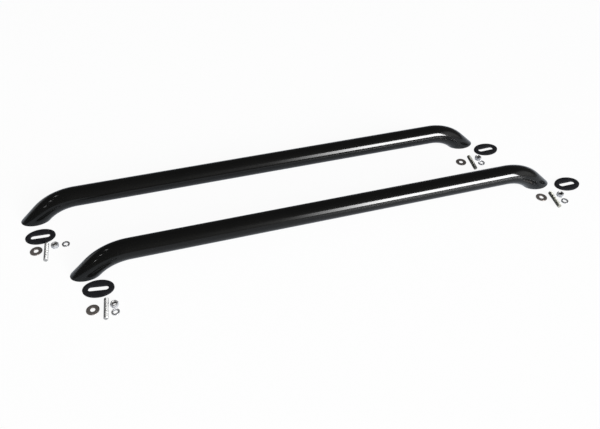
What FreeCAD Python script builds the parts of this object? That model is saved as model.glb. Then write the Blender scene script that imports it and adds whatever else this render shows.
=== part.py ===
import FreeCAD, Part
import os
from math import pi

import Sketcher
from FreeCAD import Vector

# Driving dimensions of the rails and of their fixing kit, in millimetres and degrees.
SIZES = {
    "tube_diameter": 54,
    "tube_wall": 2.1,
    "straight_length": 1041,
    "bend_radius": 139.7,
    "bend_angle": 43,
    "rail_height": 83.3,
    "near_rail_x": 18.95,
    "near_rail_y": -51.6,
    "far_rail_shift": -122.7,
    "rail_spacing": 237.2,
    "plate_thickness": 4.8,
    "plate_recess": 3,
    "plate_fit": 0.2,
    "stud_diameter": 11.11,
    "stud_length": 60.3,
    "stud_chamfer": 1,
    "thread_depth": 0.9,
    "stud_hole_clearance": 0.25,
    "nut_across_flats": 17.46,
    "nut_height": 9.53,
    "nut_corner_angle": 30,
    "nut_turning_reach": 0.4,
    "nut_mouth_chamfer": 0.7,
    "washer_diameter": 31,
    "washer_thickness": 2,
    "washer_edge_round": 0.5,
    "lock_washer_width": 4.1,
    "lock_washer_thickness": 2.8,
    "lock_washer_rise": 1.6,
    "lock_washer_gap": 1.6,
    "lock_washer_clearance": 0.15,
    "gasket_thickness": 4.5,
    "gasket_end_inset": 1.5,
    "gasket_slot_margin": 13.5,
    "gasket_slot_clearance": 1.2,
    "gasket_edge_round": 0.8,
}

# Where each corner's kit lies on the floor. x is measured along the rail from the foot's centre.
# The gasket's gap is from the foot's front edge, and the others' gaps are from the gasket's.
KIT_LAYOUT = {
    "near_left": {
        "gasket": {"x": 26.3, "gap": 7.1, "turn": -8},
        "flat_washer": {"x": 10.3, "gap": 18.9},
        "stud": {"x": 43.3, "gap": 12.5, "turn": -4},
        "hex_nut": {"x": 60.8, "gap": 24, "turn": 10},
        "lock_washer": {"x": 61.3, "gap": 46.1, "turn": 35},
    },
    "far_left": {
        "gasket": {"x": 12, "gap": 21.3, "turn": -3},
        "flat_washer": {"x": 2, "gap": 7.9},
        "stud": {"x": 29, "gap": 7.5, "turn": -2},
        "hex_nut": {"x": 49, "gap": 8.1, "turn": 20},
        "lock_washer": {"x": 75.5, "gap": 9, "turn": -60},
    },
    "far_right": {
        "gasket": {"x": 63, "gap": -0.7, "turn": 2},
        "flat_washer": {"x": -40, "gap": -7.1},
        "stud": {"x": -7.5, "gap": -6.5, "turn": -8},
        "hex_nut": {"x": 17, "gap": -1.9, "turn": 5},
        "lock_washer": {"x": 17, "gap": 20.6, "turn": 80},
    },
    "near_right": {
        "gasket": {"x": 86.3, "gap": -22.9, "turn": 1},
        "flat_washer": {"x": -17.7, "gap": -12.1},
        "stud": {"x": 13.8, "gap": -4.5, "turn": -8},
        "hex_nut": {"x": 38.3, "gap": 0.1, "turn": 25},
        "lock_washer": {"x": 36.3, "gap": 26.6, "turn": 150},
    },
}

for corner, kit in KIT_LAYOUT.items():
    for piece, place in kit.items():
        for measure, value in place.items():
            SIZES[f"{corner}_{piece}_{measure}"] = value

doc = FreeCAD.newDocument("bed_rails")
sheet = doc.addObject("Spreadsheet::Sheet", "Sizes")
for row, (alias, value) in enumerate(SIZES.items(), start=1):
    sheet.set(f"A{row}", alias)
    sheet.set(f"B{row}", str(value))
    sheet.setAlias(f"B{row}", alias)
doc.recompute()

# Sizes worked out from the driving dimensions, as expressions on the sheet.
TUBE_RADIUS = "(Sizes.tube_diameter / 2)"
BORE_RADIUS = f"({TUBE_RADIUS} - Sizes.tube_wall)"
AXIS_HEIGHT = f"(Sizes.rail_height - {TUBE_RADIUS})"
BEND_DROP = "(Sizes.bend_radius * (1 - cos(Sizes.bend_angle)))"
BEND_END_X = "(Sizes.straight_length / 2 + Sizes.bend_radius * sin(Sizes.bend_angle))"
FOOT_X = f"({BEND_END_X} + ({AXIS_HEIGHT} - {BEND_DROP}) / tan(Sizes.bend_angle))"
LEG_END_X = f"({FOOT_X} + Sizes.tube_diameter / tan(Sizes.bend_angle))"
PLATE_HALF_WIDTH = f"({BORE_RADIUS} - Sizes.plate_fit)"
PLATE_HALF_LENGTH = f"({PLATE_HALF_WIDTH} / sin(Sizes.bend_angle))"
PLATE_TOP = "(Sizes.plate_recess + Sizes.plate_thickness)"
STUD_RADIUS = "(Sizes.stud_diameter / 2)"
THREAD_RADIUS = f"({STUD_RADIUS} - Sizes.thread_depth)"
STUD_HOLE_RADIUS = f"({STUD_RADIUS} + Sizes.stud_hole_clearance)"
NUT_CORNER_RADIUS = "(Sizes.nut_across_flats / sqrt(3))"
NUT_CLEAR_RADIUS = f"({NUT_CORNER_RADIUS} + Sizes.nut_turning_reach)"
NUT_CORNER_DROP = f"(({NUT_CLEAR_RADIUS} - Sizes.nut_across_flats / 2) * tan(Sizes.nut_corner_angle))"
WASHER_RADIUS = "(Sizes.washer_diameter / 2)"
LOCK_BORE_RADIUS = f"({STUD_RADIUS} + Sizes.lock_washer_clearance)"
LOCK_RADIUS = f"({LOCK_BORE_RADIUS} + Sizes.lock_washer_width)"
LOCK_MEAN_TURN = f"(2 * pi * ({LOCK_BORE_RADIUS} + Sizes.lock_washer_width / 2))"
GASKET_HALF_LENGTH = f"({TUBE_RADIUS} / sin(Sizes.bend_angle) - Sizes.gasket_end_inset)"
GASKET_HALF_WIDTH = TUBE_RADIUS
SLOT_RADIUS = f"({STUD_RADIUS} + Sizes.gasket_slot_clearance)"
SLOT_CENTRE = f"({GASKET_HALF_LENGTH} - Sizes.gasket_slot_margin - {SLOT_RADIUS})"

RAIL_X = {
    "near": "Sizes.near_rail_x",
    "far": "(Sizes.near_rail_x + Sizes.far_rail_shift)",
}
RAIL_Y = {
    "near": "Sizes.near_rail_y",
    "far": "(Sizes.near_rail_y + Sizes.rail_spacing)",
}
OUTWARD = {"left": "-1", "right": "1"}

# The sketch's own origin and axes, as constraints name them.
ORIGIN = (-1, 1)
H_AXIS = -1
V_AXIS = -2
# How close two lengths are that count as the same.
SAME_LENGTH = 0.001
START, END, CENTRE = 1, 2, 3

pieces = []


def number(expression):
    """The value that an expression on the sheet has now."""
    return float(sheet.evalExpression(expression))


def add_body(name):
    body = doc.addObject("PartDesign::Body", name)
    body.Label = name
    pieces.append(body)
    return body


def origin_feature(body, role):
    return next(feature for feature in body.Origin.OriginFeatures if feature.Role == role)


def add_sketch(body, name, plane, lift=None):
    sketch = body.newObject("Sketcher::SketchObject", name)
    sketch.AttachmentSupport = [(origin_feature(body, plane), "")]
    sketch.MapMode = "FlatFace"
    if lift:
        sketch.setExpression("AttachmentOffset.Base.z", lift)
    return sketch


def drive(sketch, expression, *constraint):
    """Add a constraint whose value follows an expression on the sheet."""
    index = sketch.addConstraint(Sketcher.Constraint(*constraint, number(expression)))
    sketch.setExpression(f"Constraints[{index}]", expression)


def add_circle(sketch, radius, height=None):
    """A circle on the sketch's vertical axis, at its origin or at a height above it."""
    middle = Vector(0, number(height) if height else 0, 0)
    circle = sketch.addGeometry(Part.Circle(middle, Vector(0, 0, 1), number(radius)))
    drive(sketch, radius, "Radius", circle)
    if height:
        sketch.addConstraint(Sketcher.Constraint("PointOnObject", circle, CENTRE, V_AXIS))
        drive(sketch, height, "DistanceY", *ORIGIN, circle, CENTRE)
    else:
        sketch.addConstraint(Sketcher.Constraint("Coincident", circle, CENTRE, *ORIGIN))


def add_ellipse(sketch, half_length, half_width, shift="0"):
    """An ellipse with its long axis on the sketch's horizontal axis, shifted along it."""
    middle = Vector(number(shift), 0, 0)
    tip = middle + Vector(number(half_length), 0, 0)
    side = middle + Vector(0, number(half_width), 0)
    ellipse = sketch.addGeometry(Part.Ellipse(tip, side, middle))
    sketch.exposeInternalGeometry(ellipse)
    long_axis = ellipse + 1
    short_axis = ellipse + 2
    sketch.addConstraint(Sketcher.Constraint("PointOnObject", ellipse, CENTRE, H_AXIS))
    sketch.addConstraint(Sketcher.Constraint("Horizontal", long_axis))
    drive(sketch, shift, "DistanceX", *ORIGIN, ellipse, CENTRE)
    drive(sketch, f"2 * {half_length}", "Distance", long_axis)
    drive(sketch, f"2 * {half_width}", "Distance", short_axis)


def add_outline(sketch, corners):
    """A closed outline of straight lines through corners given as pairs of expressions."""
    points = [Vector(number(x), number(y), 0) for x, y in corners]
    ends = points[1:] + points[:1]
    lines = [sketch.addGeometry(Part.LineSegment(*pair)) for pair in zip(points, ends)]
    for line, following in zip(lines, lines[1:] + lines[:1]):
        sketch.addConstraint(Sketcher.Constraint("Coincident", line, END, following, START))
    for line, (x, y) in zip(lines, corners):
        drive(sketch, x, "DistanceX", *ORIGIN, line, START)
        drive(sketch, y, "DistanceY", *ORIGIN, line, START)


def add_pad(body, sketch, length):
    pad = body.newObject("PartDesign::Pad", "Pad")
    pad.Profile = sketch
    pad.setExpression("Length", length)
    return pad


def add_through_cut(body, sketch):
    """Cut a sketch through the whole body, both ways."""
    doc.recompute()
    before = body.Shape.Volume
    cut = body.newObject("PartDesign::Pocket", "Cut")
    cut.Profile = sketch
    cut.Type = "ThroughAll"
    cut.SideType = "Symmetric"
    doc.recompute()
    if not cut.Shape.Volume < before:
        raise RuntimeError(f"{body.Label}: the cut removes nothing")
    return cut


def round_body(body, feature, name, radius, is_edge):
    """Fillet or chamfer those edges of the body that is_edge picks."""
    doc.recompute()
    base = body.Tip
    edges = [f"Edge{i}" for i, edge in enumerate(base.Shape.Edges, start=1) if is_edge(edge)]
    finish = body.newObject(feature, name)
    finish.Base = (base, edges)
    finish.setExpression("Radius" if feature.endswith("Fillet") else "Size", radius)
    return finish


def lay(body, x, y, z="0", turn="0"):
    """Put a body in its place on the floor, turned about the vertical."""
    place = f"vector({x}; {y}; {z})"
    rotation = f"rotation(vector(0; 0; 1); {turn})"
    body.setExpression("Placement", f"placement({place}; {rotation})")


def add_rail(rail):
    """One bent tube: half of it is swept, its leg is cut flat at the floor, and it is mirrored."""
    body = add_body(f"{rail}_rail")
    path = add_sketch(body, "Path", "XZ_Plane")
    half = number("Sizes.straight_length / 2")
    top = number(AXIS_HEIGHT)
    radius = number("Sizes.bend_radius")
    turn = number("Sizes.bend_angle") * pi / 180
    bend_end = Vector(number(BEND_END_X), top - number(BEND_DROP), 0)
    leg_end = Vector(number(LEG_END_X), -number("Sizes.tube_diameter"), 0)
    bend = Part.Circle(Vector(half, top - radius, 0), Vector(0, 0, 1), radius)
    run = path.addGeometry(Part.LineSegment(Vector(0, top, 0), Vector(half, top, 0)))
    arc = path.addGeometry(Part.ArcOfCircle(bend, pi / 2 - turn, pi / 2))
    leg = path.addGeometry(Part.LineSegment(bend_end, leg_end))
    path.addConstraint(Sketcher.Constraint("PointOnObject", run, START, V_AXIS))
    path.addConstraint(Sketcher.Constraint("Horizontal", run))
    path.addConstraint(Sketcher.Constraint("Tangent", run, END, arc, END))
    path.addConstraint(Sketcher.Constraint("Tangent", arc, START, leg, START))
    drive(path, AXIS_HEIGHT, "DistanceY", *ORIGIN, run, START)
    drive(path, "Sizes.straight_length / 2", "DistanceX", run, START, run, END)
    drive(path, "Sizes.bend_radius", "Radius", arc)
    drive(path, LEG_END_X, "DistanceX", *ORIGIN, leg, END)
    drive(path, "Sizes.tube_diameter", "DistanceY", leg, END, *ORIGIN)

    section = add_sketch(body, "Section", "YZ_Plane")
    add_circle(section, TUBE_RADIUS, AXIS_HEIGHT)
    add_circle(section, BORE_RADIUS, AXIS_HEIGHT)
    tube = body.newObject("PartDesign::AdditivePipe", "Tube")
    tube.Profile = section
    tube.Spine = (path, ["Edge1", "Edge2", "Edge3"])

    below = add_sketch(body, "BelowFloor", "XY_Plane")
    reach = f"({LEG_END_X} + Sizes.tube_diameter)"
    side = "Sizes.tube_diameter"
    add_outline(below, [("0", f"-{side}"), (reach, f"-{side}"), (reach, side), ("0", side)])
    doc.recompute()
    uncut = body.Shape.Volume
    foot = body.newObject("PartDesign::Pocket", "Foot")
    foot.Profile = below
    foot.Type = "ThroughAll"
    doc.recompute()
    if not foot.Shape.Volume < uncut:
        raise RuntimeError(f"{body.Label}: the foot isn't cut")

    whole = body.newObject("PartDesign::Mirrored", "Whole")
    whole.TransformMode = "Whole shape"
    whole.MirrorPlane = (origin_feature(body, "YZ_Plane"), [""])
    body.Tip = whole
    lay(body, RAIL_X[rail], RAIL_Y[rail])


def add_foot_plate(corner, foot_x, foot_y, facing):
    """An oval plate that fits the slanted bore just above the foot, with a hole for the stud."""
    body = add_body(f"{corner}_foot_plate")
    outline = add_sketch(body, "Outline", "XY_Plane", "Sizes.plate_recess")
    shift = "(-Sizes.plate_recess / tan(Sizes.bend_angle))"
    add_ellipse(outline, PLATE_HALF_LENGTH, PLATE_HALF_WIDTH, shift)
    plate = add_pad(body, outline, "Sizes.plate_thickness")
    plate.UseCustomVector = True
    plate.AlongSketchNormal = True
    plate.setExpression("Direction.x", "-cos(Sizes.bend_angle)")
    plate.setExpression("Direction.y", "0")
    plate.setExpression("Direction.z", "sin(Sizes.bend_angle)")
    hole = add_sketch(body, "StudHole", "XY_Plane")
    add_circle(hole, STUD_HOLE_RADIUS)
    add_through_cut(body, hole)
    lay(body, foot_x, foot_y, turn=facing)


def add_nut(name):
    """A hex nut with its corners turned off at both faces and its thread's mouths chamfered."""
    body = add_body(name)
    prism = body.newObject("PartDesign::AdditivePrism", "Hexagon")
    prism.Polygon = 6
    prism.setExpression("Circumradius", NUT_CORNER_RADIUS)
    prism.setExpression("Height", "Sizes.nut_height")
    hole = add_sketch(body, "Thread", "XY_Plane")
    add_circle(hole, THREAD_RADIUS)
    add_through_cut(body, hole)

    flat = "(Sizes.nut_across_flats / 2)"
    top = "Sizes.nut_height"
    corners = add_sketch(body, "Corners", "XZ_Plane")
    upper = [(flat, top), (NUT_CLEAR_RADIUS, top), (NUT_CLEAR_RADIUS, f"({top} - {NUT_CORNER_DROP})")]
    lower = [(flat, "0"), (NUT_CLEAR_RADIUS, "0"), (NUT_CLEAR_RADIUS, NUT_CORNER_DROP)]
    add_outline(corners, upper)
    add_outline(corners, lower)
    turned = body.newObject("PartDesign::Groove", "TurnedCorners")
    turned.Profile = corners
    turned.ReferenceAxis = (corners, ["V_Axis"])
    turned.Angle = 360

    mouth = number(THREAD_RADIUS)
    round_body(
        body,
        "PartDesign::Chamfer",
        "Mouths",
        "Sizes.nut_mouth_chamfer",
        lambda edge: isinstance(edge.Curve, Part.Circle) and abs(edge.Curve.Radius - mouth) < SAME_LENGTH,
    )
    return body


def add_gasket(corner):
    """An oval rubber pad of the foot's outline, with a slot along it for the stud."""
    body = add_body(f"{corner}_gasket")
    outline = add_sketch(body, "Outline", "XY_Plane")
    add_ellipse(outline, GASKET_HALF_LENGTH, GASKET_HALF_WIDTH)
    add_pad(body, outline, "Sizes.gasket_thickness")
    slot = add_sketch(body, "Slot", "XY_Plane")
    reach = number(SLOT_CENTRE)
    radius = number(SLOT_RADIUS)
    up = Vector(0, 0, 1)
    right_cap = Part.Circle(Vector(reach, 0, 0), up, radius)
    left_cap = Part.Circle(Vector(-reach, 0, 0), up, radius)
    right = slot.addGeometry(Part.ArcOfCircle(right_cap, -pi / 2, pi / 2))
    left = slot.addGeometry(Part.ArcOfCircle(left_cap, pi / 2, 3 * pi / 2))
    back = slot.addGeometry(Part.LineSegment(Vector(reach, radius, 0), Vector(-reach, radius, 0)))
    front = slot.addGeometry(Part.LineSegment(Vector(-reach, -radius, 0), Vector(reach, -radius, 0)))
    slot.addConstraint(Sketcher.Constraint("Tangent", right, END, back, START))
    slot.addConstraint(Sketcher.Constraint("Tangent", back, END, left, START))
    slot.addConstraint(Sketcher.Constraint("Tangent", left, END, front, START))
    slot.addConstraint(Sketcher.Constraint("Tangent", front, END, right, START))
    slot.addConstraint(Sketcher.Constraint("PointOnObject", right, CENTRE, H_AXIS))
    slot.addConstraint(Sketcher.Constraint("PointOnObject", left, CENTRE, H_AXIS))
    drive(slot, SLOT_RADIUS, "Radius", right)
    drive(slot, SLOT_CENTRE, "DistanceX", *ORIGIN, right, CENTRE)
    drive(slot, SLOT_CENTRE, "DistanceX", left, CENTRE, *ORIGIN)
    add_through_cut(body, slot)
    round_body(
        body,
        "PartDesign::Fillet",
        "SoftEdge",
        "Sizes.gasket_edge_round",
        lambda edge: isinstance(edge.Curve, Part.Ellipse),
    )
    return body


def add_flat_washer(corner):
    """A wide stamped washer, its upper edge rounded by the press."""
    body = add_body(f"{corner}_flat_washer")
    ring = add_sketch(body, "Ring", "XY_Plane")
    add_circle(ring, WASHER_RADIUS)
    add_circle(ring, STUD_HOLE_RADIUS)
    add_pad(body, ring, "Sizes.washer_thickness")
    thickness = number("Sizes.washer_thickness")
    round_body(
        body,
        "PartDesign::Fillet",
        "PressedEdge",
        "Sizes.washer_edge_round",
        lambda edge: edge.Closed and abs(edge.CenterOfMass.z - thickness) < SAME_LENGTH,
    )
    return body


def add_stud(corner):
    """A threaded rod with chamfered ends, lying along -Y from its back end."""
    body = add_body(f"{corner}_stud")
    profile = add_sketch(body, "Profile", "XY_Plane")
    end_radius = f"({STUD_RADIUS} - Sizes.stud_chamfer)"
    front = "(-Sizes.stud_length)"
    outline = [
        ("0", "0"),
        (end_radius, "0"),
        (STUD_RADIUS, "(-Sizes.stud_chamfer)"),
        (STUD_RADIUS, f"({front} + Sizes.stud_chamfer)"),
        (end_radius, front),
        ("0", front),
    ]
    add_outline(profile, outline)
    rod = body.newObject("PartDesign::Revolution", "Rod")
    rod.Profile = profile
    rod.ReferenceAxis = (profile, ["V_Axis"])
    rod.Angle = 360
    return body


def add_lock_washer(corner):
    """A split spring washer: one open turn of square wire that rises to its upper end."""
    body = add_body(f"{corner}_lock_washer")
    wire = add_sketch(body, "Wire", "XZ_Plane")
    top = "Sizes.lock_washer_thickness"
    inner = LOCK_BORE_RADIUS
    outer = LOCK_RADIUS
    add_outline(wire, [(inner, "0"), (outer, "0"), (outer, top), (inner, top)])
    turn = body.newObject("PartDesign::AdditiveHelix", "Turn")
    turn.Profile = wire
    turn.ReferenceAxis = (wire, ["V_Axis"])
    turn.Mode = "pitch-turns-angle"
    turn.setExpression("Pitch", "Sizes.lock_washer_rise")
    turn.setExpression("Turns", f"1 - Sizes.lock_washer_gap / {LOCK_MEAN_TURN}")
    return body


def add_corner(rail, side):
    """The fittings in one foot, and the fixing kit laid on the floor beside it."""
    corner = f"{rail}_{side}"
    foot_x = f"{RAIL_X[rail]} + {OUTWARD[side]} * {FOOT_X}"
    foot_y = RAIL_Y[rail]
    facing = "0" if side == "right" else "180"
    add_foot_plate(corner, foot_x, foot_y, facing)
    lay(add_nut(f"{corner}_weld_nut"), foot_x, foot_y, PLATE_TOP, facing)

    foot_front = f"({foot_y} - {TUBE_RADIUS} - Sizes.{corner}_gasket_gap)"
    gasket_front = f"({foot_front} - 2 * {GASKET_HALF_WIDTH})"

    def lay_kit(body, piece, behind, edge, z="0", turned=True):
        """Lay a piece with its centre the distance behind in front of its place's back edge."""
        own = f"Sizes.{corner}_{piece}"
        gap = "0" if piece == "gasket" else f"{own}_gap"
        turn = f"{own}_turn" if turned else "0"
        lay(body, f"{foot_x} + {own}_x", f"{edge} - {gap} - {behind}", z, turn)

    lay_kit(add_gasket(corner), "gasket", GASKET_HALF_WIDTH, foot_front)
    lay_kit(add_flat_washer(corner), "flat_washer", WASHER_RADIUS, gasket_front, turned=False)
    lay_kit(add_stud(corner), "stud", "0", gasket_front, z=STUD_RADIUS)
    lay_kit(add_nut(f"{corner}_hex_nut"), "hex_nut", NUT_CORNER_RADIUS, gasket_front)
    lay_kit(add_lock_washer(corner), "lock_washer", LOCK_RADIUS, gasket_front)


for rail_name in RAIL_X:
    add_rail(rail_name)
for rail_name in RAIL_X:
    for side_name in OUTWARD:
        add_corner(rail_name, side_name)
doc.recompute()

for item in doc.Objects:
    if "Invalid" in item.State or "Error" in item.State:
        raise RuntimeError(f"{item.Label} failed: {item.State}")
for body in pieces:
    if body.Shape.isNull() or not body.Shape.isValid() or len(body.Shape.Solids) != 1:
        raise RuntimeError(f"{body.Label} isn't one valid solid")

os.makedirs("parts", exist_ok=True)
for body in pieces:
    body.Shape.exportStep(os.path.join("parts", f"{body.Label}.step"))
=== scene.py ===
import math
import bmesh
import bpy
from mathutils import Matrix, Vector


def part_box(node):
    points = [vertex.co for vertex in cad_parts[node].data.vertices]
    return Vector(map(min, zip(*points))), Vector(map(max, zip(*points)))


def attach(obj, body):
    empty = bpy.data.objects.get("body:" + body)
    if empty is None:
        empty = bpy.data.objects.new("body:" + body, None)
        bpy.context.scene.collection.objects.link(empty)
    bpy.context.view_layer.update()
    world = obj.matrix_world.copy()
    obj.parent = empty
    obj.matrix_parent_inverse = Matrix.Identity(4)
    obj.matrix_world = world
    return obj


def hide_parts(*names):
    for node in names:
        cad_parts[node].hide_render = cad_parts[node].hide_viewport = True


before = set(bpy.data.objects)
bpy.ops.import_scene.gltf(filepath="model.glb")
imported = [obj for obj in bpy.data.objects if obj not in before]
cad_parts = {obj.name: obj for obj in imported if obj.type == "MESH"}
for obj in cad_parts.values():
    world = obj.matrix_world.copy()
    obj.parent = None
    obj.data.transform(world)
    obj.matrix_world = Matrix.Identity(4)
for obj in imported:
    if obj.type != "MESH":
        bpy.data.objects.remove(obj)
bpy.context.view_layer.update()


# Bed rails
# Each rail is one steel tube, bent down at both ends on a former and sawn off level with the truck bed.
# It is powder coated gloss black all over, so it has a fine orange peel and no bare edge.

TUBE_RADIUS = 0.027
TUBE_BORE = 0.0249
TUBE_SIDES = 128
STRAIGHT_LENGTH = 1.041
BEND_RADIUS = 0.1397
BEND_ANGLE = math.radians(43)
BEND_STEPS = 40
LEG_BEFORE_SAWING = 0.085
RIM_ROUND = 0.0004
RIM_CORNER = math.radians(30)
RAIL_CREASE = math.radians(50)
ROUND_STEPS = 3
SEAM_GAP = 0.00001
POINT_GAP = 0.000001
COAT_BLACK = (0.0020, 0.0020, 0.0019, 1)
COAT_BLACK_THIN = (0.0032, 0.0032, 0.0030, 1)
PEEL_PER_METRE = 420.0


class Shade:
    """One output of a material's nodes. Sums on it add Math nodes to the same material."""

    def __init__(self, tree, output=None):
        self.tree = tree
        self.output = output

    def node(self, kind, settings=None, values=None, take=0):
        """Adds a node, first its settings, then its sockets' values or links, and gives one output."""
        made = self.tree.nodes.new(kind)
        for name, setting in (settings or {}).items():
            setattr(made, name, setting)
        for socket, value in (values or {}).items():
            if isinstance(value, Shade):
                self.tree.links.new(value.output, made.inputs[socket])
            else:
                made.inputs[socket].default_value = value
        return Shade(self.tree, made.outputs[take] if len(made.outputs) else None)

    def maths(self, operation, first, second):
        """Adds a Math node that works on two values or outputs."""
        return self.node("ShaderNodeMath", {"operation": operation}, {0: first, 1: second})

    def __add__(self, other):
        return self.maths("ADD", self, other)

    def __radd__(self, other):
        return self.maths("ADD", other, self)

    def __sub__(self, other):
        return self.maths("SUBTRACT", self, other)

    def __rsub__(self, other):
        return self.maths("SUBTRACT", other, self)

    def __mul__(self, other):
        return self.maths("MULTIPLY", self, other)

    def __rmul__(self, other):
        return self.maths("MULTIPLY", other, self)


def new_finish(name):
    """An empty material, and the blank on which its nodes are put together."""
    finish = bpy.data.materials.new(name)
    finish.use_nodes = True
    finish.node_tree.nodes.clear()
    return finish, Shade(finish.node_tree)


def noise(blank, per_metre, detail):
    """Cloudy grain of a given fineness, fixed to the piece."""
    place = blank.node("ShaderNodeTexCoord", take="Object")
    return blank.node("ShaderNodeTexNoise", None, {"Vector": place, "Scale": per_metre, "Detail": detail})


def blend_colours(blank, factor, first, second):
    """Goes from the first colour to the second as the factor goes from 0 to 1."""
    return blank.node("ShaderNodeMix", {"data_type": "RGBA"}, {0: factor, 6: first, 7: second}, take=2)


def relief(blank, height, depth, strength):
    """Turns a height into a bump of that depth in metres."""
    return blank.node("ShaderNodeBump", None, {"Height": height, "Distance": depth, "Strength": strength})


def coat_surface(blank, values):
    """Closes a material with one surface shader."""
    surface = blank.node("ShaderNodeBsdfPrincipled", None, values)
    blank.node("ShaderNodeOutputMaterial", None, {"Surface": surface})


powder_coat, blank = new_finish("gloss_black_powder_coat")
film = noise(blank, per_metre=14.0, detail=3.0)
coat_surface(blank, {
    "Base Color": blend_colours(blank, film, COAT_BLACK, COAT_BLACK_THIN),
    "Roughness": 0.30 + film * 0.1,
    "Specular IOR Level": 0.03,
    "Coat Weight": 1.0,
    "Coat IOR": 1.38,
    "Coat Roughness": 0.1,
    "Normal": relief(blank, noise(blank, PEEL_PER_METRE, detail=1.0), depth=0.0002, strength=0.05),
})


def apply_modifier(piece, kind, **settings):
    """Gives a piece a modifier and makes its result the mesh."""
    bpy.context.view_layer.objects.active = piece
    modifier = piece.modifiers.new(kind, kind)
    for name, setting in settings.items():
        setattr(modifier, name, setting)
    bpy.ops.object.modifier_apply(modifier=modifier.name)


def round_edges(piece, width, sharpest_kept):
    """Rounds off each edge of a piece that turns by more than an angle."""
    apply_modifier(
        piece, "BEVEL", width=width, segments=ROUND_STEPS, limit_method="ANGLE", angle_limit=sharpest_kept
    )


def point_outwards(piece, gap=POINT_GAP):
    """Merges doubled points, then turns every face of a closed piece outwards."""
    bpy.ops.object.mode_set(mode="EDIT")
    bpy.ops.mesh.select_all(action="SELECT")
    bpy.ops.mesh.remove_doubles(threshold=gap)
    bpy.ops.mesh.normals_make_consistent(inside=False)
    bpy.ops.object.mode_set(mode="OBJECT")


def set_down(master, node, turn=0.0):
    """Copies a finished piece to where its solid lies, turned in degrees, and shows it instead."""
    low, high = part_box(node)
    bpy.ops.object.select_all(action="DESELECT")
    master.select_set(True)
    bpy.context.view_layer.objects.active = master
    bpy.ops.object.duplicate()
    piece = bpy.context.object
    piece.name = node + "_dressed"
    piece.location = ((low.x + high.x) / 2, (low.y + high.y) / 2, 0)
    piece.rotation_euler = (0, 0, math.radians(turn))
    bpy.ops.object.transform_apply()
    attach(piece, "root")
    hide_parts(node)


axis_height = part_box("near_rail")[1].z - TUBE_RADIUS
bpy.ops.object.select_all(action="DESELECT")
bpy.ops.mesh.primitive_circle_add(
    vertices=TUBE_SIDES, radius=TUBE_RADIUS, location=(0, 0, axis_height), rotation=(0, math.radians(90), 0)
)
rail = bpy.context.object
bpy.ops.object.transform_apply()
bpy.ops.object.mode_set(mode="EDIT")
bpy.ops.mesh.primitive_circle_add(
    vertices=TUBE_SIDES, radius=TUBE_BORE, location=(0, 0, axis_height), rotation=(0, math.radians(90), 0)
)
bpy.ops.mesh.select_all(action="SELECT")
bpy.ops.mesh.extrude_region_move(TRANSFORM_OT_translate={"value": (STRAIGHT_LENGTH / 2, 0, 0)})
bpy.ops.mesh.spin(
    steps=BEND_STEPS,
    angle=-BEND_ANGLE,
    center=(STRAIGHT_LENGTH / 2, 0, axis_height - BEND_RADIUS),
    axis=(0, 1, 0),
)
leg = (LEG_BEFORE_SAWING * math.cos(BEND_ANGLE), 0, -LEG_BEFORE_SAWING * math.sin(BEND_ANGLE))
bpy.ops.mesh.extrude_region_move(TRANSFORM_OT_translate={"value": leg})
bpy.ops.mesh.select_all(action="SELECT")
bpy.ops.mesh.bisect(plane_co=(0, 0, 0), plane_no=(0, 0, 1), clear_inner=True)
bpy.ops.mesh.fill()
bpy.ops.object.mode_set(mode="OBJECT")
apply_modifier(rail, "MIRROR", merge_threshold=SEAM_GAP)
point_outwards(rail)
round_edges(rail, RIM_ROUND, RIM_CORNER)
bpy.ops.object.shade_smooth_by_angle(angle=RAIL_CREASE)
rail.data.materials.append(powder_coat)
for node in ("near_rail", "far_rail"):
    set_down(rail, node)
bpy.data.objects.remove(rail)


# Foot plates
# An oval of flat bar, its edge slanted as the bore is, closes each end of a tube a little way up.
# It is welded in and coated together with the rail, and its hole lets the stud through to the nut above it.

CORNERS = ("near_left", "far_left", "far_right", "near_right")
PLATE_BLACK = (0.0052, 0.0052, 0.005, 1)
PLATE_BLACK_DRY = (0.009, 0.009, 0.0088, 1)

plate_coat, blank = new_finish("inside_powder_coat")
film = noise(blank, per_metre=60.0, detail=3.0)
coat_surface(blank, {
    "Base Color": blend_colours(blank, film, PLATE_BLACK, PLATE_BLACK_DRY),
    "Roughness": 0.28 + film * 0.18,
    "IOR": 1.47,
    "Normal": relief(blank, noise(blank, per_metre=700.0, detail=2.0), depth=0.0002, strength=0.12),
})


def dress_node(node, finish):
    """Shows a solid as it is, in a finish of its own."""
    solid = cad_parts[node]
    solid.data.materials.clear()
    solid.data.materials.append(finish)


for corner in CORNERS:
    dress_node(corner + "_foot_plate", plate_coat)


# Weld nuts
# A plain steel nut is welded to the upper side of each foot plate, out of sight inside the tube.
# Its bare steel has the grey, slightly blued skin of a part that has been heated.

STEEL_GREY = (0.30, 0.30, 0.31, 1)
STEEL_BLUED = (0.17, 0.165, 0.18, 1)

bare_steel, blank = new_finish("bare_weld_nut_steel")
heat = noise(blank, per_metre=220.0, detail=4.0)
coat_surface(blank, {
    "Base Color": blend_colours(blank, heat, STEEL_GREY, STEEL_BLUED),
    "Metallic": 1.0,
    "Roughness": 0.34 + heat * 0.2,
    "Normal": relief(blank, noise(blank, per_metre=1500.0, detail=2.0), depth=0.0001, strength=0.2),
})
for corner in CORNERS:
    dress_node(corner + "_weld_nut", bare_steel)


# Gaskets
# An oval of moulded black rubber goes between each foot and the truck, and lies here beside its foot.
# A long slot in it leaves the stud free to be moved along until the holes of both feet line up.

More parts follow.
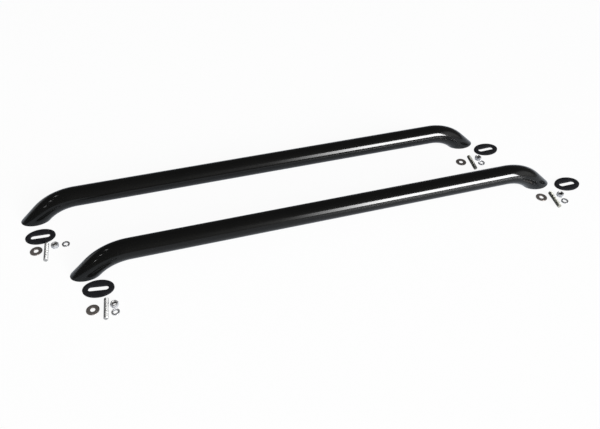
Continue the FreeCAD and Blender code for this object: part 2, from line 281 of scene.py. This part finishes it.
GASKET_HALF_LENGTH = 0.03809
GASKET_HALF_WIDTH = 0.027
GASKET_THICKNESS = 0.0045
GASKET_ROUND = 0.0008
GASKET_SIDES = 128
RING_CREASE = math.radians(40)
SLOT_HALF_LENGTH = 0.02459
SLOT_HALF_WIDTH = 0.006755
GASKET_TURNS = {"near_left": -8, "far_left": -3, "far_right": 2, "near_right": 1}
RUBBER_BLACK = (0.0075, 0.0075, 0.0095, 1)
RUBBER_BLOOM = (0.0145, 0.0145, 0.0170, 1)

rubber, blank = new_finish("moulded_black_rubber")
bloom = noise(blank, per_metre=120.0, detail=5.0)
coat_surface(blank, {
    "Base Color": blend_colours(blank, bloom, RUBBER_BLACK, RUBBER_BLOOM),
    "Roughness": 0.62 + bloom * 0.2,
    "Specular IOR Level": 0.15,
    "Normal": relief(blank, noise(blank, per_metre=2600.0, detail=3.0), depth=0.0001, strength=0.25),
})


def pick_points(wanted):
    """Selects, in edit mode, only the points that the test holds for."""
    bpy.ops.mesh.select_all(action="DESELECT")
    mesh = bmesh.from_edit_mesh(bpy.context.object.data)
    for point in mesh.verts:
        point.select_set(wanted(point.co))
    mesh.select_flush_mode()
    bmesh.update_edit_mesh(bpy.context.object.data)


def raise_ring(height):
    """Closes the ring between two loops lying on the floor, and pulls it up to its thickness."""
    bpy.ops.mesh.select_all(action="SELECT")
    bpy.ops.mesh.bridge_edge_loops()
    bpy.ops.mesh.select_all(action="SELECT")
    bpy.ops.mesh.extrude_region_move(TRANSFORM_OT_translate={"value": (0, 0, height)})
    bpy.ops.object.mode_set(mode="OBJECT")


bpy.ops.object.select_all(action="DESELECT")
bpy.ops.mesh.primitive_circle_add(vertices=GASKET_SIDES, radius=SLOT_HALF_WIDTH, location=(0, 0, 0))
gasket = bpy.context.object
bpy.ops.object.mode_set(mode="EDIT")
slot_shift = SLOT_HALF_LENGTH - SLOT_HALF_WIDTH
pick_points(lambda place: place.x > -POINT_GAP)
bpy.ops.transform.translate(value=(slot_shift, 0, 0))
pick_points(lambda place: place.x < -POINT_GAP)
bpy.ops.transform.translate(value=(-slot_shift, 0, 0))
bpy.ops.mesh.primitive_circle_add(vertices=GASKET_SIDES, radius=GASKET_HALF_WIDTH, location=(0, 0, 0))
bpy.ops.transform.resize(value=(GASKET_HALF_LENGTH / GASKET_HALF_WIDTH, 1, 1), center_override=(0, 0, 0))
raise_ring(GASKET_THICKNESS)
point_outwards(gasket)
round_edges(gasket, GASKET_ROUND, RING_CREASE)
bpy.ops.object.shade_smooth_by_angle(angle=RING_CREASE)
gasket.data.materials.append(rubber)
for corner in CORNERS:
    set_down(gasket, corner + "_gasket", GASKET_TURNS[corner])
bpy.data.objects.remove(gasket)


# Flat washers
# Each wide washer is punched from plain steel strip and tumbled, which dulls it and rounds its edges.
# It goes under the truck's sheet metal, and lies loose here.

WASHER_RADIUS = 0.0155
WASHER_HOLE = 0.005805
WASHER_THICKNESS = 0.002
WASHER_ROUND = 0.0005
WASHER_SIDES = 96
WASHER_GREY = (0.52, 0.48, 0.455, 1)
WASHER_BROWN = (0.33, 0.29, 0.27, 1)

tumbled_steel, blank = new_finish("tumbled_washer_steel")
stain = noise(blank, per_metre=260.0, detail=6.0)
coat_surface(blank, {
    "Base Color": blend_colours(blank, stain, WASHER_GREY, WASHER_BROWN),
    "Metallic": 1.0,
    "Roughness": 0.42 + stain * 0.22,
    "Normal": relief(blank, noise(blank, per_metre=1800.0, detail=4.0), depth=0.0001, strength=0.35),
})

bpy.ops.object.select_all(action="DESELECT")
bpy.ops.mesh.primitive_circle_add(vertices=WASHER_SIDES, radius=WASHER_HOLE, location=(0, 0, 0))
washer = bpy.context.object
bpy.ops.object.mode_set(mode="EDIT")
bpy.ops.mesh.primitive_circle_add(vertices=WASHER_SIDES, radius=WASHER_RADIUS, location=(0, 0, 0))
raise_ring(WASHER_THICKNESS)
point_outwards(washer)
round_edges(washer, WASHER_ROUND, RING_CREASE)
bpy.ops.object.shade_smooth_by_angle(angle=RING_CREASE)
washer.data.materials.append(tumbled_steel)
for corner in CORNERS:
    set_down(washer, corner + "_flat_washer")
bpy.data.objects.remove(washer)


# Studs
# Each stud is a length of steel bar with a rolled thread from end to end, chamfered and zinc plated.
# It screws up into the nut in the foot, and hangs down through gasket and truck.
# The two at the right-hand feet have a duller plating, a little olive, and their darker zinc is also painted
# shade that tones down the softbox highlight on them.

STUD_RADIUS = 0.005555
STUD_LENGTH = 0.0603
STUD_CHAMFER = 0.001
THREAD_PITCH = 0.001814
THREAD_DEPTH = 0.001
THREAD_FLANK = math.radians(30)
THREAD_STEPS = 32
THREAD_CREASE = math.radians(25)
TURNED_SIDES = 96
CUT_SPARE = 0.0001
SLIVER = 0.00001
STUD_TURNS = {"near_left": -4, "far_left": -2, "far_right": -8, "near_right": -8}
ZINC_BRIGHT = (0.48, 0.48, 0.475, 1)
ZINC_CLOUDY = (0.36, 0.36, 0.355, 1)
ZINC_DULL_SHADED = (0.31, 0.31, 0.275, 1)
ZINC_OLIVE_SHADED = (0.25, 0.25, 0.215, 1)


def plate_with_zinc(name, bright, dim, metal_share, smoothest):
    """A zinc finish, clouded as plating is, with a fine grain."""
    finish, blank = new_finish(name)
    cloud = noise(blank, per_metre=340.0, detail=4.0)
    coat_surface(blank, {
        "Base Color": blend_colours(blank, cloud, bright, dim),
        "Metallic": metal_share,
        "Roughness": smoothest + cloud * 0.16,
        "Normal": relief(blank, noise(blank, per_metre=2400.0, detail=3.0), depth=0.00005, strength=0.15),
    })
    return finish


zinc = plate_with_zinc("bright_zinc_plating", ZINC_BRIGHT, ZINC_CLOUDY, metal_share=0.9, smoothest=0.44)
# The darker zinc is partly a duller batch of plating and partly painted shade over the softbox highlight on
# the right-hand studs.
zinc_with_painted_shade = plate_with_zinc("dull_plating_with_painted_shade", ZINC_DULL_SHADED, ZINC_OLIVE_SHADED, metal_share=0.5, smoothest=0.48)


def thread_bar(root, crest, length):
    """A closed bar with a helical thread, standing upright from the floor."""
    flank = (crest - root) * math.tan(THREAD_FLANK)
    flat = (THREAD_PITCH - 2 * flank) / 2
    profile = (
        (root, 0),
        (root, flat),
        (crest, flat + flank),
        (crest, 2 * flat + flank),
        (root, THREAD_PITCH),
    )
    bpy.ops.object.select_all(action="DESELECT")
    bpy.ops.mesh.primitive_plane_add(size=root, location=(root, 0, -THREAD_PITCH))
    bar = bpy.context.object
    bpy.ops.object.transform_apply()
    bpy.ops.object.mode_set(mode="EDIT")
    bpy.ops.mesh.merge(type="CENTER")
    for start, end in zip(profile, profile[1:]):
        step = (end[0] - start[0], 0, end[1] - start[1])
        bpy.ops.mesh.extrude_region_move(TRANSFORM_OT_translate={"value": step})
    bpy.ops.object.mode_set(mode="OBJECT")
    apply_modifier(
        bar, "SCREW", axis="Z", angle=math.radians(360), screw_offset=THREAD_PITCH,
        iterations=math.ceil(length / THREAD_PITCH) + 2, steps=THREAD_STEPS, render_steps=THREAD_STEPS,
    )
    bpy.ops.object.mode_set(mode="EDIT")
    bpy.ops.mesh.select_all(action="SELECT")
    bpy.ops.mesh.remove_doubles(threshold=POINT_GAP)
    bpy.ops.mesh.bisect(plane_co=(0, 0, 0), plane_no=(0, 0, 1), use_fill=True, clear_inner=True)
    bpy.ops.mesh.select_all(action="SELECT")
    bpy.ops.mesh.bisect(plane_co=(0, 0, length), plane_no=(0, 0, 1), use_fill=True, clear_outer=True)
    bpy.ops.object.mode_set(mode="OBJECT")
    point_outwards(bar)
    return bar


def turned_bar(radius, length, end_radius, slope_height):
    """A round bar standing on the floor, with both ends turned down to a smaller radius."""
    bpy.ops.object.select_all(action="DESELECT")
    bpy.ops.mesh.primitive_cylinder_add(
        vertices=TURNED_SIDES, radius=radius, depth=length - 2 * slope_height, location=(0, 0, length / 2)
    )
    bar = bpy.context.object
    bpy.ops.object.transform_apply()
    bpy.ops.object.mode_set(mode="EDIT")
    for outwards in (1, -1):
        pick_points(lambda place: (place.z - length / 2) * outwards > 0)
        bpy.ops.mesh.extrude_region_move(TRANSFORM_OT_translate={"value": (0, 0, slope_height * outwards)})
        bpy.ops.transform.resize(value=(end_radius / radius, end_radius / radius, 1))
    bpy.ops.object.mode_set(mode="OBJECT")
    point_outwards(bar)
    return bar


def combine(piece, other, operation):
    """Cuts or trims one solid with another, which is used up, and clears the slivers left by the cut."""
    apply_modifier(piece, "BOOLEAN", operation=operation, object=other, solver="EXACT")
    bpy.data.objects.remove(other)
    bpy.ops.object.mode_set(mode="EDIT")
    bpy.ops.mesh.select_all(action="SELECT")
    bpy.ops.mesh.dissolve_degenerate(threshold=SLIVER)
    bpy.ops.object.mode_set(mode="OBJECT")
    point_outwards(piece, SLIVER)


stud = thread_bar(STUD_RADIUS - THREAD_DEPTH, STUD_RADIUS, STUD_LENGTH)
chamfers = turned_bar(STUD_RADIUS + CUT_SPARE, STUD_LENGTH, STUD_RADIUS - STUD_CHAMFER, STUD_CHAMFER)
combine(stud, chamfers, "INTERSECT")
stud.rotation_euler = (math.radians(90), 0, 0)
stud.location = (0, STUD_LENGTH / 2, STUD_RADIUS)
bpy.ops.object.select_all(action="DESELECT")
stud.select_set(True)
bpy.ops.object.transform_apply()
bpy.ops.object.shade_smooth_by_angle(angle=THREAD_CREASE)
stud.data.materials.append(zinc)
# The right-hand studs take the darker zinc, which is partly painted shade that tones down their highlight.
for corner in CORNERS:
    stud.data.materials[0] = zinc_with_painted_shade if corner.endswith("right") else zinc
    set_down(stud, corner + "_stud", STUD_TURNS[corner])
bpy.data.objects.remove(stud)


# Hex nuts
# Each nut is cold formed, with its corners turned down on both faces, and zinc plated.
# It is tapped after plating, so its thread is bare steel with oil on it; the thread's dark colour is partly
# that and partly painted shade of the hole's recess.
# It goes on the stud from below, over the washers.

NUT_ACROSS_FLATS = 0.01746
NUT_HEIGHT = 0.00953
NUT_HOLE = 0.004655
NUT_MOUTH = 0.0062
NUT_FACE_SHARE = 0.97
NUT_SHADED_THREAD_SHARE = 0.97
NUT_SLOPE = math.radians(30)
TAP_OVERRUN = 2 * THREAD_PITCH
NUT_TURNS = {"near_left": 10, "far_left": 20, "far_right": 5, "near_right": 25}
NUT_BRIGHT = (0.74, 0.74, 0.75, 1)
NUT_CLOUDY = (0.60, 0.60, 0.61, 1)
THREAD_BARE_SHADED = (0.26, 0.25, 0.24, 1)
THREAD_OILY_SHADED = (0.15, 0.145, 0.135, 1)

nut_zinc = plate_with_zinc("nut_zinc_plating", NUT_BRIGHT, NUT_CLOUDY, metal_share=0.85, smoothest=0.38)
# The thread's dark finish is part bare oiled steel and part painted shade in the hole.
thread_steel_with_painted_shade, blank = new_finish("oiled_thread_with_painted_shade")
oil = noise(blank, per_metre=500.0, detail=3.0)
coat_surface(blank, {
    "Base Color": blend_colours(blank, oil, THREAD_BARE_SHADED, THREAD_OILY_SHADED),
    "Metallic": 0.85,
    "Roughness": 0.36 + oil * 0.2,
})

bpy.ops.object.select_all(action="DESELECT")
corner_radius = NUT_ACROSS_FLATS / 2 / math.cos(math.radians(30))
bpy.ops.mesh.primitive_cylinder_add(
    vertices=6, radius=corner_radius, depth=NUT_HEIGHT,
    location=(0, 0, NUT_HEIGHT / 2), rotation=(0, 0, math.radians(30)),
)
nut = bpy.context.object
bpy.ops.object.transform_apply()
face_radius = NUT_ACROSS_FLATS / 2 * NUT_FACE_SHARE
slope_height = (corner_radius - face_radius) * math.tan(NUT_SLOPE)
combine(nut, turned_bar(corner_radius, NUT_HEIGHT, face_radius, slope_height), "INTERSECT")
tap = thread_bar(NUT_HOLE, NUT_HOLE + THREAD_DEPTH, NUT_HEIGHT + 2 * TAP_OVERRUN)
tap.location = (0, 0, -TAP_OVERRUN)
combine(nut, tap, "DIFFERENCE")
mouth_depth = NUT_MOUTH - NUT_HOLE
for face_height, upwards in ((NUT_HEIGHT, 1), (0, -1)):
    bpy.ops.object.select_all(action="DESELECT")
    bpy.ops.mesh.primitive_cone_add(
        vertices=TURNED_SIDES, radius1=NUT_HOLE - mouth_depth, radius2=NUT_MOUTH + mouth_depth,
        depth=3 * mouth_depth,
        location=(0, 0, face_height - mouth_depth / 2 * upwards),
        rotation=(0 if upwards > 0 else math.radians(180), 0, 0),
    )
    combine(nut, bpy.context.object, "DIFFERENCE")
bpy.ops.object.select_all(action="DESELECT")
nut.select_set(True)
bpy.context.view_layer.objects.active = nut
bpy.ops.object.shade_smooth_by_angle(angle=THREAD_CREASE)
nut.data.materials.append(nut_zinc)
nut.data.materials.append(thread_steel_with_painted_shade)
bpy.ops.object.mode_set(mode="EDIT")
# Only the faces inside the hole take the dark thread finish, so the painted shade stays in the recess.
pick_points(lambda place: math.hypot(place.x, place.y) < NUT_MOUTH * NUT_SHADED_THREAD_SHARE)
nut.active_material_index = 1
bpy.ops.object.material_slot_assign()
bpy.ops.object.mode_set(mode="OBJECT")
for corner in CORNERS:
    set_down(nut, corner + "_hex_nut", NUT_TURNS[corner])
bpy.data.objects.remove(nut)


# Lock washers
# Each is one turn of square spring wire, cut through and sprung open so that its ends stand apart.
# It goes between nut and flat washer, and its ends bite when the nut is tightened.

LOCK_BORE = 0.005705
LOCK_WIRE_WIDTH = 0.0041
LOCK_WIRE_HEIGHT = 0.0028
LOCK_WIRE_ROUND = 0.0003
LOCK_RISE = 0.00154
LOCK_SWEEP = math.radians(348)
LOCK_STEPS = 120
LOCK_TURNS = {"near_left": 35, "far_left": -60, "far_right": 80, "near_right": 150}
SPRING_GREY = (0.62, 0.62, 0.63, 1)
SPRING_DARK = (0.45, 0.45, 0.46, 1)

spring_steel, blank = new_finish("plated_spring_steel")
cloud = noise(blank, per_metre=420.0, detail=4.0)
coat_surface(blank, {
    "Base Color": blend_colours(blank, cloud, SPRING_GREY, SPRING_DARK),
    "Metallic": 0.9,
    "Roughness": 0.36 + cloud * 0.16,
    "Normal": relief(blank, noise(blank, per_metre=2200.0, detail=3.0), depth=0.00005, strength=0.2),
})

bpy.ops.object.select_all(action="DESELECT")
bpy.ops.mesh.primitive_plane_add(
    size=1,
    location=(LOCK_BORE + LOCK_WIRE_WIDTH / 2, 0, LOCK_WIRE_HEIGHT / 2),
    rotation=(math.radians(90), 0, 0),
)
lock_washer = bpy.context.object
lock_washer.scale = (LOCK_WIRE_WIDTH, LOCK_WIRE_HEIGHT, 1)
bpy.ops.object.transform_apply()
bpy.ops.object.mode_set(mode="EDIT")
bpy.ops.mesh.select_all(action="SELECT")
bpy.ops.mesh.bevel(affect="VERTICES", offset=LOCK_WIRE_ROUND, segments=ROUND_STEPS)
bpy.ops.mesh.select_all(action="SELECT")
bpy.ops.mesh.delete(type="ONLY_FACE")
bpy.ops.object.mode_set(mode="OBJECT")
apply_modifier(
    lock_washer, "SCREW", axis="Z", angle=LOCK_SWEEP, screw_offset=LOCK_RISE,
    steps=LOCK_STEPS, render_steps=LOCK_STEPS,
)
bpy.ops.object.mode_set(mode="EDIT")
bpy.ops.mesh.select_all(action="SELECT")
bpy.ops.mesh.fill_holes(sides=0)
bpy.ops.object.mode_set(mode="OBJECT")
point_outwards(lock_washer)
bpy.ops.object.shade_smooth_by_angle(angle=RING_CREASE)
lock_washer.data.materials.append(spring_steel)
for corner in CORNERS:
    set_down(lock_washer, corner + "_lock_washer", LOCK_TURNS[corner])
bpy.data.objects.remove(lock_washer)


# Floor
# A plain white floor carries the rails and runs out of sight on every side.
# It looks white to the eye and in the gloss, and keeps a faint soft shadow of what stands on it.

FLOOR_SIZE = 60.0
FLOOR_GLOW = 0.95
MIRRORED_GLOW = 0.65
MIRRORED_WHITE = (0.50, 0.55, 0.62, 1)
FLOOR_WHITE = (0.80, 0.80, 0.80, 1)
PURE_WHITE = (1, 1, 1, 1)


def tell_rays(blank):
    """Tells what is looked at, also through glass, and what is seen mirrored in a gloss."""
    looked_at = blank.node("ShaderNodeLightPath", take="Is Camera Ray")
    looked_through = blank.node("ShaderNodeLightPath", take="Is Transmission Ray")
    mirrored = blank.node("ShaderNodeLightPath", take="Is Glossy Ray")
    return looked_at + looked_through, mirrored


floor_white, blank = new_finish("white_floor")
looked_at, mirrored = tell_rays(blank)
paint = blank.node(
    "ShaderNodeBsdfPrincipled", None,
    {"Base Color": FLOOR_WHITE, "Roughness": 0.25, "Specular IOR Level": 0.1},
)
glow_white = blend_colours(blank, mirrored, PURE_WHITE, MIRRORED_WHITE)
glow = blank.node("ShaderNodeEmission", None, {"Color": glow_white, "Strength": 1.0})
glow_share = looked_at * FLOOR_GLOW + mirrored * MIRRORED_GLOW
mixed = blank.node("ShaderNodeMixShader", None, {0: glow_share, 1: paint, 2: glow})
blank.node("ShaderNodeOutputMaterial", None, {"Surface": mixed})

bpy.ops.object.select_all(action="DESELECT")
bpy.ops.mesh.primitive_plane_add(size=FLOOR_SIZE, location=(0, 0, 0))
floor = bpy.context.object
floor.name = "floor"
floor.data.materials.append(floor_white)


# Studio light
# One broad softbox stands low behind the viewer's right shoulder, with soft cards at the right and back left.
# A wide overhead panel fills in, and three small lamps put specks on the left-hand bends.
# The room above is dark, so the tubes stay black apart from these.

SOFTBOX_DISTANCE = 18.0
SOFTBOX_RISE = math.radians(22.5)
SOFTBOX_HALF_HEIGHT = 4.8
SOFTBOX_LEFT = 3.25
SOFTBOX_RIGHT = 28.0
SOFTBOX_LEFT_FADE = 3.6
SOFTBOX_RIGHT_FADE = 12.4
SOFTBOX_STRENGTH = 38.0
CARD_STRENGTH = 0.9
CARDS = {
    "back_left_card": {"place": (-4.6, 3.9, 0.7), "turn": math.radians(50), "size": (3.8, 1.8)},
    "right_card": {"place": (8.8, -3.6, 3.6), "turn": math.radians(68), "size": (8.0, 8.0)},
}
FILL_HEIGHT = 3.2
FILL_SIZE = 6.0
FILL_POWER = 18.0
FILL_TINT = (0.88, 0.93, 1.0)
SPECK_LAMPS = ((-2.35, 0.78, 2.39), (-2.77, -0.43, 2.07), (-2.97, -1.19, 1.35))
SPECK_POWER = 5.0
SPECK_RADIUS = 0.12
ROOM_DARK = (0.06, 0.06, 0.061, 1)
ROOM_IN_GLOSS = 0.03
PURE_BLACK = (0, 0, 0, 1)


def glow_softly(blank, share, strength):
    """Closes a material with a plain white glow, which goes down to black as the share goes to 0."""
    colour = blend_colours(blank, share, PURE_BLACK, PURE_WHITE)
    glow = blank.node("ShaderNodeEmission", None, {"Color": colour, "Strength": strength})
    blank.node("ShaderNodeOutputMaterial", None, {"Surface": glow})


def stand_panel(name, face, size, place, turn):
    """Puts up a flat panel that lights the rails and shows in their gloss, out of the camera's sight."""
    bpy.ops.object.select_all(action="DESELECT")
    bpy.ops.mesh.primitive_plane_add(size=1, location=place, rotation=turn)
    panel = bpy.context.object
    panel.name = name
    panel.scale = (*size, 1)
    bpy.ops.object.transform_apply(location=False, rotation=False, scale=True)
    panel.data.materials.append(face)
    panel.visible_camera = False


softbox_face, blank = new_finish("softbox_face")
place = blank.node("ShaderNodeTexCoord", take="Object")
across = blank.node("ShaderNodeSeparateXYZ", None, {0: place}, take="X")
edge = (SOFTBOX_RIGHT - SOFTBOX_LEFT) / 2
left_fade = blank.node(
    "ShaderNodeMapRange", None, {"Value": across, "From Min": -edge, "From Max": SOFTBOX_LEFT_FADE - edge}
)
right_fade = blank.node(
    "ShaderNodeMapRange", None, {"Value": across, "From Min": edge, "From Max": edge - SOFTBOX_RIGHT_FADE}
)
right_fade = right_fade * right_fade
fade = left_fade * left_fade * right_fade * right_fade
glow_softly(blank, fade, SOFTBOX_STRENGTH)
stand_panel(
    "softbox",
    softbox_face,
    size=(SOFTBOX_RIGHT - SOFTBOX_LEFT, 2 * SOFTBOX_HALF_HEIGHT),
    place=(
        (SOFTBOX_LEFT + SOFTBOX_RIGHT) / 2,
        -SOFTBOX_DISTANCE * math.cos(SOFTBOX_RISE),
        SOFTBOX_DISTANCE * math.sin(SOFTBOX_RISE),
    ),
    turn=(math.radians(90) - SOFTBOX_RISE, 0, 0),
)

for name, card in CARDS.items():
    width, height = card["size"]
    card_face, blank = new_finish(name)
    place = blank.node("ShaderNodeTexCoord", take="Object")
    across = blank.node("ShaderNodeSeparateXYZ", None, {0: place}, take="X") * (2 / width)
    along = blank.node("ShaderNodeSeparateXYZ", None, {0: place}, take="Y") * (2 / height)
    glow_softly(blank, (1 - across * across) * (1 - along * along), CARD_STRENGTH)
    stand_panel(name, card_face, card["size"], card["place"], turn=(math.radians(90), 0, card["turn"]))

bpy.ops.object.light_add(type="AREA", location=(0, 0, FILL_HEIGHT))
fill = bpy.context.object
fill.name = "overhead_fill"
fill.data.shape = "SQUARE"
fill.data.size = FILL_SIZE
fill.data.color = FILL_TINT
fill.data.energy = FILL_POWER
fill.visible_glossy = False
for number, lamp_place in enumerate(SPECK_LAMPS):
    bpy.ops.object.light_add(type="POINT", location=lamp_place)
    lamp = bpy.context.object
    lamp.name = "small_lamp_" + str(number + 1)
    lamp.data.energy = SPECK_POWER
    lamp.data.shadow_soft_size = SPECK_RADIUS

room = bpy.data.worlds.new("room")
bpy.context.scene.world = room
room.use_nodes = True
room.node_tree.nodes.clear()
blank = Shade(room.node_tree)
walls = blank.node("ShaderNodeBackground", None, {"Color": ROOM_DARK, "Strength": 1.0})
white = blank.node("ShaderNodeBackground", None, {"Color": PURE_WHITE, "Strength": 1.0})
looked_at, mirrored = tell_rays(blank)
white_share = looked_at + mirrored * ROOM_IN_GLOSS
mixed = blank.node("ShaderNodeMixShader", None, {0: white_share, 1: walls, 2: white})
blank.node("ShaderNodeOutputWorld", None, {"Surface": mixed})


# Camera
# It looks down on the pair from the front left, at the photograph's angle and distance.
# The view is kept plain, so that each colour shows about as it is written above.

CAMERA_PLACE = (-0.400553, -1.147049, 1.128391)
CAMERA_TURN = (math.radians(46.9488), math.radians(-0.5683), math.radians(-16.5131))
FILM_WIDTH_MM = 36.0
LENS_MM = 36.0

bpy.ops.object.camera_add(location=CAMERA_PLACE, rotation=CAMERA_TURN)
camera = bpy.context.object
camera.data.sensor_fit = "HORIZONTAL"
camera.data.sensor_width = FILM_WIDTH_MM
camera.data.lens = LENS_MM
bpy.context.scene.camera = camera
bpy.context.scene.view_settings.view_transform = "Standard"
